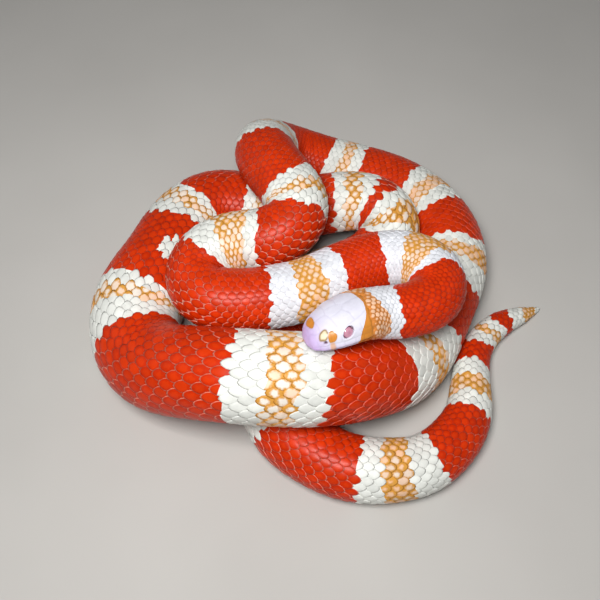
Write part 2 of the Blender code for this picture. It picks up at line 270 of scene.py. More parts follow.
# %% Rings
# The kinds of colour, as numbers that rise by one at each edge from red through white to orange.
RED, WHITE, ORANGE, PLATE = 0.0, 1.0, 2.0, 3.0
RINGS = [(-9, 3, 9, 15), (20, 24, 27, 31), (40, 46, 52.5, 58), (78, 87, 95, 102), (131, 139, 147, 155),
         (182, 189, 199, 206), (220.5, 224, 229, 232.5), (237.5, 241.5, 246, 249.5), (266, 271, 279, 285),
         (304, 307, 312, 317), (345.5, 349.3, 354.8, 364.5), (410.5, 419.5, 427.5, 434.5),
         (460, 469.5, 476, 485), (504.5, 512, 517.5, 521), (535.5, 540.5, 546, 551),
         (570.5, 574.5, 579, 584), (611, 615, 620, 627), (648, 652.5, 656, 659.5),
         (674.5, 678.5, 689, 696), (731, 739, 748, 755), (770, 778, 787, 790.5)]
NAPE_WHITE = 813.5
NAPE_ORANGE = 822.9
NAPE_BULGE = 4.0
# The orange of the nape ends in front at these distances from the snout, by angle.
NAPE_ANGLES = (-180, -90, -42, -10, 16, 44, 60, 72, 98, 180)
NAPE_FRONTS = (12.0, 14.5, 18.6, 18.0, 17.5, 15.6, 14.2, 13.3, 11.8, 11.5)
EDGE_WAVE = 0.9
EDGE_WIDTH = 1.0
# A stray patch of white in the red: start, end, least and greatest angle, for each of its parts.
STRAYS = [(329, 335, 8, 18), (326.5, 336.5, 18, 120)]


def past(x):
    """Return 0 before an edge, 1 behind it and a half on it, for distances past the edge."""
    return np.clip(x / EDGE_WIDTH + 0.5, 0, 1)


def band_at(s, angle):
    """Return the kind of colour at these places: the numbers above, with halves on the edges."""
    angle = (angle + 180) % 360 - 180
    kind = np.full(np.shape(s), RED)
    for number, (first, second, third, last) in enumerate(RINGS):
        x = s - EDGE_WAVE * np.sin(np.radians(2 * angle) + 2.4 * number)
        kind = kind + past(x - first) * past(last - x) + past(x - second) * past(third - x)
    for first, last, least, most in STRAYS:
        inside = past(s - first) * past(last - s) * (angle > least) * (angle < most)
        kind = np.maximum(kind, inside)
    bulge = NAPE_BULGE * np.sin(np.radians(angle)) ** 2
    front = TOTAL - np.interp(angle, NAPE_ANGLES, NAPE_FRONTS)
    return kind + past(s - NAPE_WHITE) + past(s - NAPE_ORANGE + bulge) + past(s - front)


print("rings on the body:", len(RINGS) + 1)

# %% [markdown]
# Meshes from arrays.
# Thousands of scales would be slow to add one by one, so each piece is built as arrays of points and faces
# and handed to Blender in one go. Values that the finishes read, such as the kind of colour, go with the
# points as attributes. Each object sits at the origin and rides on the one body of the frame.


# %% A mesh with its attributes
def new_object(name, data):
    """Put a mesh, lamp or camera into the scene and return its object."""
    item = bpy.data.objects.new(name, data)
    bpy.context.scene.collection.objects.link(item)
    return item


def make_piece(name, points, quads, triangles, values, patch=None):
    """Build a smooth closed mesh in metres, with float attributes and, if given, a flat map for baking."""
    mesh = bpy.data.meshes.new(name)
    corners = np.concatenate([np.ravel(quads), np.ravel(triangles)]).astype(np.int32)
    sizes = np.concatenate([np.full(len(quads), 4), np.full(len(triangles), 3)])
    starts = np.concatenate([[0], np.cumsum(sizes)[:-1]]).astype(np.int32)
    mesh.vertices.add(len(points))
    mesh.loops.add(len(corners))
    mesh.polygons.add(len(sizes))
    mesh.vertices.foreach_set("co", (points * MM).astype(np.float32).ravel())
    mesh.loops.foreach_set("vertex_index", corners)
    mesh.polygons.foreach_set("loop_start", starts)
    mesh.update(calc_edges=True)
    mesh.validate()
    mesh.shade_smooth()
    for label, numbers in values.items():
        kind = "FLOAT" if numbers.ndim == 1 else "FLOAT_VECTOR"
        field = "value" if numbers.ndim == 1 else "vector"
        attribute = mesh.attributes.new(label, kind, "POINT")
        attribute.data.foreach_set(field, numbers.astype(np.float32).ravel())
    if patch is not None:
        layer = mesh.uv_layers.new(name="OFBake")
        layer.data.foreach_set("uv", patch[corners].astype(np.float32).ravel())
    return new_object(name, mesh)


def wrap_grid(rows, columns, first=0):
    """Return the quads of a tube of points, with faces outwards, numbered from first."""
    i, k = np.meshgrid(np.arange(rows - 1), np.arange(columns), indexing="ij")
    after = (k + 1) % columns
    here, ahead = i * columns, (i + 1) * columns
    quads = np.stack([here + k, ahead + k, ahead + after, here + after], -1)
    return first + quads.reshape(-1, 4)


# %% [markdown]
# Finishes.
# Scales are keratin, the stuff of fingernails: smooth, a little clear, glossy where they face the light.
# Without dark pigment the colours are clean. Each scale's shade differs slightly from its neighbours', its
# rim is thinner and paler, partly with a painted highlight, and the scales of an orange ring have pale
# middles, which makes a net.


# %% Colours and a helper for nodes
def linear(code):
    """Turn an sRGB hex colour into linear red, green, blue and alpha."""
    parts = [int(code[i:i + 2], 16) / 255 for i in (1, 3, 5)]
    return [p / 12.92 if p <= 0.04045 else ((p + 0.055) / 1.055) ** 2.4 for p in parts] + [1.0]


def add(tree, kind, inputs=None, stops=None, **settings):
    """Add a node with its settings, link or set its inputs, and colour the stops of a ramp."""
    item = tree.nodes.new(kind)
    for name, value in settings.items():
        setattr(item, name, value)
    for socket, value in (inputs or {}).items():
        if isinstance(value, bpy.types.NodeSocket):
            tree.links.new(value, item.inputs[socket])
        else:
            item.inputs[socket].default_value = value
    for number, (place, code) in enumerate(stops or []):
        ramp = item.color_ramp.elements
        stop = ramp[number] if number < len(ramp) else ramp.new(place)
        stop.position = place
        stop.color = linear(code)
    return item


def new_finish(name, roughness, coat, specular=0.5):
    """Return a material's node tree, its shader and the material, with its plain numbers set."""
    finish = bpy.data.materials.new(name)
    finish.use_nodes = True
    shader = finish.node_tree.nodes["Principled BSDF"]
    shader.inputs["Roughness"].default_value = roughness
    shader.inputs["Coat Weight"].default_value = coat
    shader.inputs["Coat Roughness"].default_value = 0.15
    shader.inputs["Specular IOR Level"].default_value = specular
    shader.inputs["IOR"].default_value = 1.54
    return finish, finish.node_tree, shader


# The places of the four kinds of colour on a ramp from 0 to 1.
KIND_STOPS = (0.0, 1 / 6, 0.5, 5 / 6)
BODY_COLOURS = ("#C02A04", "#E0E1DA", "#D2953F", "#DCDAE7")
# The slightly lighter middle of the red scales is a faint painted highlight. The pale middles of the orange
# scales are their own colour.
MIDDLE_COLOURS = ("#CC3407", "#E4E5DE", "#F0E7DA", "#DCDAE7")
# The pale rims of the red scales are partly their thinner horn and partly a painted highlight. The darker
# orange rims are the ring's own net.
RIM_AND_HIGHLIGHT_COLOURS = ("#F4B09A", "#E6E7E0", "#C97C2A", "#DCDAE7")
SKIN_COLOURS = ("#DE9079", "#D9DCD2", "#D9A968", "#DCDAE7")
PLATED_COLOURS = ("#C02A04", "#DEDFD6", "#CE8434", "#DCDAE7")
PEACH = "#E9BE9C"
COOL_WHITE = "#E0E1E6"
NAPE_COLOUR = "#D08440"
# The tints of the head, laid one over the other in this order: the value on the mesh, colour and blend.
# The last two are painted shade: in the grooves between the plates, and in the mouth, the nostrils and round
# the eyes.
HEAD_TINTS = [("cream", "#E8D59C", "MIX"), ("blush", "#DDA77C", "MIX"), ("olive", "#8E7028", "MIX"),
              ("groove_shade", "#A99FBC", "MULTIPLY"), ("recess_shade", "#57303F", "MIX")]
SNOUT_TINT = "#C5A8DC"
PORE_DEPTH = 0.0001


def kind_ramp(tree, factor, colours):
    """Return the colour socket of a ramp that steps from one kind of colour to the next."""
    ramp = add(tree, "ShaderNodeValToRGB", {"Fac": factor}, list(zip(KIND_STOPS, colours)))
    ramp.color_ramp.interpolation = "CONSTANT"
    return ramp.outputs["Color"]


def mix(tree, factor, first, second, blend="MIX"):
    """Return the colour socket of a mix of two colours."""
    item = add(tree, "ShaderNodeMix", data_type="RGBA", blend_type=blend)
    for socket, value in ((item.inputs[0], factor), (item.inputs[6], first), (item.inputs[7], second)):
        if isinstance(value, bpy.types.NodeSocket):
            tree.links.new(value, socket)
        else:
            socket.default_value = value
    return item.outputs[2]


def noise(tree, place, scale, detail=2.0):
    """Return the value of a noise pattern, whose scale is one over its size in metres."""
    return add(tree, "ShaderNodeTexNoise", {"Vector": place, "Scale": scale, "Detail": detail}).outputs["Fac"]


def between(tree, value, start, end, least=0.0, most=1.0):
    """Return a value moved from one range to another."""
    sizes = {"Value": value, "From Min": start, "From Max": end, "To Min": least, "To Max": most}
    return add(tree, "ShaderNodeMapRange", sizes).outputs[0]


def calculate(tree, operation, first, second):
    """Return the result of a plain sum on two values."""
    return add(tree, "ShaderNodeMath", {0: first, 1: second}, operation=operation).outputs[0]


def attribute(tree, name, kind="Fac"):
    """Return a value that the mesh carries."""
    return add(tree, "ShaderNodeAttribute", attribute_name=name).outputs[kind]


def from_middle(tree, along, across):
    """Return how far a place on a tile is from the tile's middle."""
    offset = add(tree, "ShaderNodeCombineXYZ", {0: along, 1: across}).outputs[0]
    return add(tree, "ShaderNodeVectorMath", {0: offset}, operation="LENGTH").outputs["Value"]


def paint(tree, shader, colour, value):
    """Lighten or darken a colour by a value and give it to the shader."""
    shaded = add(tree, "ShaderNodeHueSaturation", {"Color": colour, "Value": value}).outputs[0]
    tree.links.new(shaded, shader.inputs["Base Color"])


def break_gloss(tree, shader, pores, least, most, strength):
    """Break up the gloss with fine pores: an uneven roughness and a faint relief."""
    tree.links.new(between(tree, pores, 0.0, 1.0, least, most), shader.inputs["Roughness"])
    relief = {"Height": pores, "Strength": strength, "Distance": PORE_DEPTH}
    tree.links.new(add(tree, "ShaderNodeBump", relief).outputs[0], shader.inputs["Normal"])


def scale_finish():
    """Keratin scales, grown smooth: clean colour under a clear gloss, pale at the rim, partly a painted
    highlight.
    """
    finish, tree, shader = new_finish("smooth keratin scales", 0.34, 0.03, 0.12)
    place = add(tree, "ShaderNodeTexCoord").outputs["Object"]
    factor = calculate(tree, "DIVIDE", attribute(tree, "band"), 3.0)
    within = attribute(tree, "within", "Vector")
    parts = add(tree, "ShaderNodeSeparateXYZ", {0: within}).outputs
    # The pale middle sits a little towards the free end, in the part that shows. It has a soft,
    # uneven edge about half a millimetre wide.
    along = calculate(tree, "ADD", parts[0], 0.18)
    across = calculate(tree, "MULTIPLY", parts[1], 0.8)
    reach = from_middle(tree, along, across)
    ragged = between(tree, noise(tree, place, 900.0), 0.3, 0.7, -0.15, 0.15)
    inside = calculate(tree, "SUBTRACT", calculate(tree, "SUBTRACT", attribute(tree, "pale"), reach), ragged)
    middle = between(tree, inside, -0.13, 0.13)
    rim = between(tree, from_middle(tree, parts[0], parts[1]), 0.82, 0.96)
    # Some of the pale middles lean towards peach, and all of them on the nape, whose orange is deeper.
    is_orange = between(tree, factor, 0.50, 0.52)
    peach = calculate(tree, "MULTIPLY", attribute(tree, "peach"), is_orange)
    nape = calculate(tree, "MULTIPLY", attribute(tree, "nape"), is_orange)
    pale = mix(tree, peach, kind_ramp(tree, factor, MIDDLE_COLOURS), linear(PEACH))
    body = mix(tree, nape, kind_ramp(tree, factor, BODY_COLOURS), linear(NAPE_COLOUR))
    # On the red scales the lighter middle is a faint painted highlight.
    colour = mix(tree, middle, body, pale)
    # The rim is palest where the skin is stretched. Its pale colour is partly thinner horn and partly a
    # painted highlight.
    rim = calculate(tree, "MULTIPLY", rim, attribute(tree, "rim"))
    colour = mix(tree, rim, colour, kind_ramp(tree, factor, RIM_AND_HIGHLIGHT_COLOURS))
    # The whites of the neck are a little cooler, towards the violet of the head.
    is_white = calculate(tree, "SUBTRACT", between(tree, factor, 0.16, 0.17), is_orange)
    cool = calculate(tree, "MULTIPLY", attribute(tree, "cool"), is_white)
    colour = mix(tree, cool, colour, linear(COOL_WHITE))
    shade = between(tree, parts[2], 0.0, 1.0, 0.88, 1.05)
    # Uneven pigment, in clouds about 3 mm across.
    clouds = between(tree, noise(tree, place, 330.0), 0.35, 0.65, 0.94, 1.04)
    paint(tree, shader, colour, calculate(tree, "MULTIPLY", shade, clouds))
    # The pores are a third of a millimetre apart, too small to see one by one.
    break_gloss(tree, shader, noise(tree, place, 3000.0), 0.26, 0.44, 0.08)
    return finish


def skin_finish():
    """Soft skin between the scales and thin horn on the head: pale, with painted shade in the seams, the
    pits, the mouth and round the eyes.
    """
    finish, tree, shader = new_finish("soft skin and head plates", 0.34, 0.06, 0.25)
    place = add(tree, "ShaderNodeTexCoord").outputs["Object"]
    factor = calculate(tree, "DIVIDE", attribute(tree, "band"), 3.0)
    colour = mix(tree, attribute(tree, "plated"), kind_ramp(tree, factor, SKIN_COLOURS),
                 kind_ramp(tree, factor, PLATED_COLOURS))
    is_plate = between(tree, factor, 0.83, 0.84)
    tint = calculate(tree, "MULTIPLY", attribute(tree, "tint"), is_plate)
    colour = mix(tree, tint, colour, linear(SNOUT_TINT))
    # Of these tints, the grooves' and the recesses' are painted shade. The others are the head's own
    # markings.
    for label, code, blend in HEAD_TINTS:
        colour = mix(tree, attribute(tree, label), colour, linear(code), blend)
    # Soft blotches about 2 mm across keep the plates from looking like plastic.
    paint(tree, shader, colour, between(tree, noise(tree, place, 500.0), 0.35, 0.65, 0.96, 1.02))
    break_gloss(tree, shader, noise(tree, place, 2200.0, 3.0), 0.28, 0.44, 0.12)
    return finish


SCALE_FINISH = scale_finish()
SKIN_FINISH = skin_finish()
print("finishes:", SCALE_FINISH.name, "and", SKIN_FINISH.name)

# %% [markdown]
# The skin.
# One skin runs from the tip of the tail to the snout. On the body it lies under the scales by their depth,
# and shows only as pale lines where a bend pulls the scales apart. On the head it comes up to the surface
# and is itself the plates, so the mesh is at least three times finer there. The fine part joins the coarse
# part just behind the head, under the scales of the nape.

# %% Places on the head
COAT_DEPTH = 0.35
BODY_ROW = 1.3
BODY_COLUMNS = 72
FINER = 3
HEAD_ROW = 0.2
HEAD_COLUMNS = BODY_COLUMNS * FINER
MOUTH_SHARE = 0.6
MOUTH_CROWDING = 1.25
MOUTH_CORNER = 16.0
# Between these distances from the snout the crowded columns give way to even ones.
CROWDING_FADE = (17, 25)
EYE_BACK = 10.1
EYE_OUT = 6.4
EYE_UP = 2.2
EYE_RADIUS = 2.0
EYE_HOLE = 1.85
EYE_SQUEEZE = 1.5
EYE_SLANT = np.radians(40)
# How far up and forward an eye looks, where 1 is the way out to the side.
EYE_LOOK_UP = 0.45
EYE_LOOK_FORWARD = 0.08
NOSTRIL_BACK = 4.2
NOSTRIL_UP = 1.6
# Each depth below is how far a form is sunk into the head, and each swell how far it stands out. The arch
# is how far the line of the mouth rises in its middle.
MOUTH_DEPTH = 0.75
MOUTH_WIDTH = 0.16
MOUTH_ARCH = 0.25
BROW_OUT = 6.6
BROW_SIZE = (2.2, 0.8)
BROW_SWELL = 0.25
SOCKET_DEPTH = 1.5
SOCKET_RIM = 0.4
SOCKET_RIM_WIDTH = 0.22
SOCKET_SWELL = 0.10
NOSTRIL_EDGE = (0.25, 0.62)
NOSTRIL_DEPTH = 0.75
NOSTRIL_RIM = 0.8
NOSTRIL_RIM_WIDTH = 0.18
NOSTRIL_SWELL = 0.07
SNOUT_SWELL = 0.55
SNOUT_RINGS = (0.85, 0.6, 0.3)
# How strongly the grooves are darkened with painted shade, and over what distance the violet tint fades from
# the snout.
CREASE_SHADE = 0.16
TINT_REACH = 4.2


def smooth_step(x, start, end):
    """Return 0 before start and 1 after end, with an even change between."""
    t = np.clip((x - start) / (end - start), 0, 1)
    return t * t * (3 - 2 * t)


def mouth_height(back):
    """Return the level of the line of the mouth at a distance back from the snout."""
    return MOUTH_LEVEL + MOUTH_ARCH * np.sin(np.clip(back, 0, MOUTH_CORNER) / MOUTH_CORNER * np.pi)


def head_angles(back):
    """Return the angles of the columns of each row of the head, crowded at the line of the mouth."""
    u = np.arange(HEAD_COLUMNS) / HEAD_COLUMNS * 2
    side = np.where(u > 1, -1.0, 1.0)
    u = np.where(u > 1, 2 - u, u)
    depth = section_sizes(TOTAL - back, TOTAL)[:, 2]
    share = np.clip(-mouth_height(back) / depth, 0, 0.97) ** (1 / BELLY_FLATNESS)
    mouth = np.degrees(np.arccos(-share))[:, None]
    above = 1 - np.clip(1 - u / MOUTH_SHARE, 0, 1) ** MOUTH_CROWDING
    below = np.clip((u - MOUTH_SHARE) / (1 - MOUTH_SHARE), 0, 1) ** MOUTH_CROWDING
    warped = mouth * above + (180 - mouth) * below
    fade = smooth_step(back, *CROWDING_FADE)[:, None]
    angle = warped * (1 - fade) + 180 * u * fade
    return angle * side % 360


# %% [markdown]
# The relief of the head.
# The plates of the head meet in fine grooves. Their plan is the usual one of this family: a rostral plate
# on the snout, paired internasals and prefrontals, a frontal plate between two brow plates, two large
# parietals, and rows of lip plates above and below the mouth. Each groove is a line on the head's own map:
# distance back, and either distance round from the mid-line of the crown or height over the mouth.

# %% The plan of the plates
# Lines on the crown: distance back from the snout, distance round from the mid-line.
CROWN_LINES = [
    [(1.3, 0), (1.1, 1.6), (0.7, 2.6)],
    [(1.3, 0), (3.9, 0), (7.4, 0)],
    [(1.1, 1.6), (2.3, 3.6), (3.8, 4.5)],
    [(3.9, 0), (4.1, 2.4), (3.8, 4.5)],
    [(3.8, 4.5), (5.5, 5.7), (8.2, 6.4)],
    [(7.4, 0), (7.9, 2.1), (8.2, 6.4)],
    [(7.9, 2.1), (9.8, 1.95), (11.6, 1.5), (13.0, 0)],
    [(8.2, 6.4), (9.4, 7.1), (12.4, 6.9)],
    [(11.6, 1.5), (12.4, 3.6), (12.4, 6.9)],
    [(13.0, 0), (19.2, 0)],
    [(12.4, 6.9), (14.5, 6.5), (17.3, 5.3), (19.3, 2.7), (19.2, 0)]]
# Lines on the side: distance back, height over the mouth.
SIDE_LINES = [
    [(1.0, 1.7), (5.0, 2.0), (9.0, 1.85), (13.0, 2.2), (16.5, 2.1)],
    [(2.4, 0), (2.4, 1.9)], [(4.4, 0), (4.5, 2.0)], [(6.4, 0), (6.5, 1.9)], [(8.6, 0), (8.5, 1.8)],
    [(11.0, 0), (11.1, 1.9)], [(13.3, 0), (13.4, 2.2)], [(15.6, 0), (15.7, 2.1)],
    [(2.3, 1.9), (2.2, 3.4)], [(5.8, 2.0), (5.9, 4.6)], [(8.0, 1.9), (8.6, 5.0)],
    [(13.0, 2.2), (13.2, 5.2)], [(12.4, 3.9), (13.1, 3.9)],
    [(13.1, 3.8), (16.4, 3.9), (18.6, 3.6)], [(15.9, 2.1), (16.1, 5.4)], [(18.2, 1.2), (18.4, 5.0)],
    [(1.2, -1.5), (5.0, -1.8), (10.0, -2.0), (15.5, -2.0)],
    [(2.6, 0), (2.6, -1.6)], [(4.6, 0), (4.6, -1.8)], [(6.8, 0), (6.8, -1.9)], [(9.0, 0), (9.0, -2.0)],
    [(11.2, 0), (11.2, -2.0)], [(13.4, 0), (13.4, -2.0)], [(15.4, 0), (15.5, -2.0)]]
# Lines on the chin: distance back, distance round from the mid-line below.
CHIN_LINES = [
    [(1.6, 0), (12.0, 0)],
    [(1.6, 0), (3.0, 1.6), (7.4, 2.5), (11.4, 2.0), (12.0, 0)],
    [(7.2, 0), (7.5, 2.5)]]
GROOVE_WIDTH = 0.17
GROOVE_DEPTH = 0.07
# The lines of the side count this far out from the middle, and those of the chin this far below the mouth.
SIDE_OUT = 2.5
CHIN_BELOW = 1.0
# The grooves end between these distances from the snout, and the skin sinks under the scales between these
# distances from where they begin.
GROOVE_END = (18.8, 19.8)
SINK = (-0.8, 0.4)
# Spots on the head: distance back, distance round to the left, and the half sizes along and round.
SNOUT_SPOT = (2.95, -1.2, 1.15, 2.3)
SPOT_WOBBLE = 0.05
CHEEK_SPOT = (6.2, 7.6, 1.1, 1.6)
CHEEK_STREAK = (5.7, 10.4, 0.75, 2.6)
RING_SPOT = (4.4, 5.8, 1.4, 1.5)
# The scales begin behind the plates: angles from the crown, and the distance back there.
COAT_ANGLES = (0, 16, 30, 50, 75, 180)
COAT_LIMITS = (19.0, 18.6, 17.6, 16.5, 16.4, 16.6)


def coat_limit(angle):
    """Return how far back from the snout the scales begin: sooner on the sides than on the crown."""
    from_crown = np.abs((angle + 180) % 360 - 180)
    return np.interp(from_crown, COAT_ANGLES, COAT_LIMITS)


def distance_to(lines, x, y):
    """Return each place's distance to the nearest of some bent lines."""
    nearest = np.full(x.shape, 99.0)
    for line in lines:
        for (x1, y1), (x2, y2) in zip(line, line[1:]):
            length = (x2 - x1) ** 2 + (y2 - y1) ** 2
            t = np.clip(((x - x1) * (x2 - x1) + (y - y1) * (y2 - y1)) / length, 0, 1)
            nearest = np.minimum(nearest, np.hypot(x - x1 - t * (x2 - x1), y - y1 - t * (y2 - y1)))
    return nearest


def head_place(back, out, up_by):
    """Return a point of the head from its distance back, to the left and up."""
    here, _, left, up, _ = axes_at(np.array([TOTAL - back]))
    return here[0] + out * left[0] + up_by * up[0]


def way_from_eye(side):
    """Return the direction in which an eye looks: out to the side, a little up and forward."""
    _, forward, left, up, _ = axes_at(np.array([TOTAL - EYE_BACK]))
    return unit(side * left[0] + EYE_LOOK_UP * up[0] + EYE_LOOK_FORWARD * forward[0])


def carve_head(points, turns, out, rise, back):
    """Return the head's points with their relief, how far each is in a seam, and the painted shade of the
    pits, the mouth and the eye rims.
    """
    normal = way_out(points)
    half = HEAD_COLUMNS // 2
    steps = np.linalg.norm(np.diff(points, axis=1, append=points[:, :1]), axis=2)
    from_crown = np.zeros(out.shape)
    from_crown[:, 1:half + 1] = np.cumsum(steps[:, :half], axis=1)
    from_crown[:, half:] = np.cumsum(steps[:, half:][:, ::-1], axis=1)[:, ::-1]
    girth = from_crown[:, half:half + 1]
    back = np.broadcast_to(back[:, None], out.shape)
    over_mouth = rise - mouth_height(back)
    side_wall = np.abs(out) > SIDE_OUT
    seams = distance_to(CROWN_LINES, back, from_crown)
    seams = np.where(side_wall, np.minimum(seams, distance_to(SIDE_LINES, back, over_mouth)), seams)
    chin = distance_to(CHIN_LINES, back, girth - from_crown)
    seams = np.where(over_mouth < -CHIN_BELOW, np.minimum(seams, chin), seams)
    seam = np.exp(-(seams / GROOVE_WIDTH) ** 2) * (1 - smooth_step(back, *GROOVE_END))
    lift = -GROOVE_DEPTH * seam
    fade = 1 - smooth_step(back, MOUTH_CORNER - 1.0, MOUTH_CORNER + 0.3)
    # The line of the mouth is sunk, and the same share later darkens it with painted shade.
    recess_shade = np.exp(-(over_mouth / MOUTH_WIDTH) ** 2) * fade
    lift -= MOUTH_DEPTH * recess_shade
    brow = ((back - EYE_BACK) / BROW_SIZE[0]) ** 2 + ((from_crown - BROW_OUT) / BROW_SIZE[1]) ** 2
    lift += BROW_SWELL * np.exp(-brow)
    place = points.copy()
    for side in (1, -1):
        centre = head_place(EYE_BACK, side * EYE_OUT, EYE_UP)
        way = way_from_eye(side)
        offset = points - centre
        height = offset @ way
        # The opening is an oval that slants up towards the back of the head.
        backwards = unit(np.cross(way, np.cross(way, axes_at(np.array([TOTAL - EYE_BACK]))[1][0])))
        upwards = side * np.cross(way, backwards)
        slant = np.cos(EYE_SLANT) * backwards + np.sin(EYE_SLANT) * upwards
        long_part = offset @ slant
        wide_part = offset @ np.cross(slant, way)
        radius = np.hypot(long_part, EYE_SQUEEZE * wide_part)
        radius = np.where(height > 0, radius, 99.0)
        hole = 1 - smooth_step(radius, EYE_HOLE - 0.15, EYE_HOLE + 0.12)
        ring = np.exp(-((radius - EYE_HOLE - SOCKET_RIM) / SOCKET_RIM_WIDTH) ** 2)
        lift = lift * (1 - hole) + SOCKET_SWELL * ring
        place -= SOCKET_DEPTH * hole[..., None] * way
        # Painted shade darkens the rim of the opening, most at the back and top, where the brow's shadow
        # falls.
        rear = np.clip(0.5 + 0.6 * long_part / EYE_HOLE, 0.08, 1)
        recess_shade = np.maximum(recess_shade, rear * np.exp(-((radius - EYE_HOLE + 0.05) / 0.2) ** 2))
        nostril = outline(np.array([TOTAL - NOSTRIL_BACK]), np.array([[side * nostril_angle]]))[0][0, 0]
        radius = np.linalg.norm(points - nostril, axis=2)
        pit = 1 - smooth_step(radius, *NOSTRIL_EDGE)
        ring = np.exp(-((radius - NOSTRIL_RIM) / NOSTRIL_RIM_WIDTH) ** 2)
        lift = lift - NOSTRIL_DEPTH * pit + NOSTRIL_SWELL * ring
        # The pit of the nostril is darkened with painted shade.
        recess_shade = np.maximum(recess_shade, pit)
    lift -= COAT_DEPTH * smooth_step(back - coat_limit(turns), *SINK)
    return place + lift[..., None] * normal, seam, recess_shade


def find_angle(back, level):
    """Return the angle at which the left side of the head reaches a level above its middle."""
    angles = np.linspace(40, 140, 400)
    rise = outline(np.array([TOTAL - back]), angles[None])[2][0]
    return float(angles[np.argmin(np.abs(rise - level))])


nostril_angle = find_angle(NOSTRIL_BACK, NOSTRIL_UP)
print("lines between the plates:", len(CROWN_LINES) + len(SIDE_LINES) + len(CHIN_LINES))


# %% Build the skin
def oval(x, y, spot):
    """Return how far inside an oval spot each place is, about in mm, from its middle and half sizes."""
    middle_x, middle_y, half_x, half_y = spot
    along, over = (x - middle_x) / half_x, (y - middle_y) / half_y
    turn = np.arctan2(over, along)
    edge = 1 + SPOT_WOBBLE * (np.sin(3 * turn + middle_x) + 0.6 * np.sin(5 * turn + middle_y))
    return (edge - np.hypot(along, over)) * min(half_x, half_y)


def head_markings(back, from_crown):
    """Return the kind of colour and the shares of olive, cream and blush on the plates of the head."""
    snout = oval(back, from_crown, SNOUT_SPOT)
    cheek = oval(back, from_crown, CHEEK_SPOT)
    kind = PLATE - past(np.maximum(snout, cheek) * 2)
    loreal = oval(back, from_crown, RING_SPOT)
    outside = 1 - smooth_step(cheek, -0.3, 0.1)
    olive = np.exp(-((loreal - 0.22) / 0.26) ** 2) * outside
    olive = np.maximum(olive, 0.4 * np.exp(-(np.maximum(snout, cheek) / 0.13) ** 2))
    cream = 0.75 * smooth_step(loreal, 0.15, 0.5) * outside
    blush = 0.8 * smooth_step(oval(back, from_crown, CHEEK_STREAK), -0.1, 0.3) * outside
    return kind, olive, cream, blush


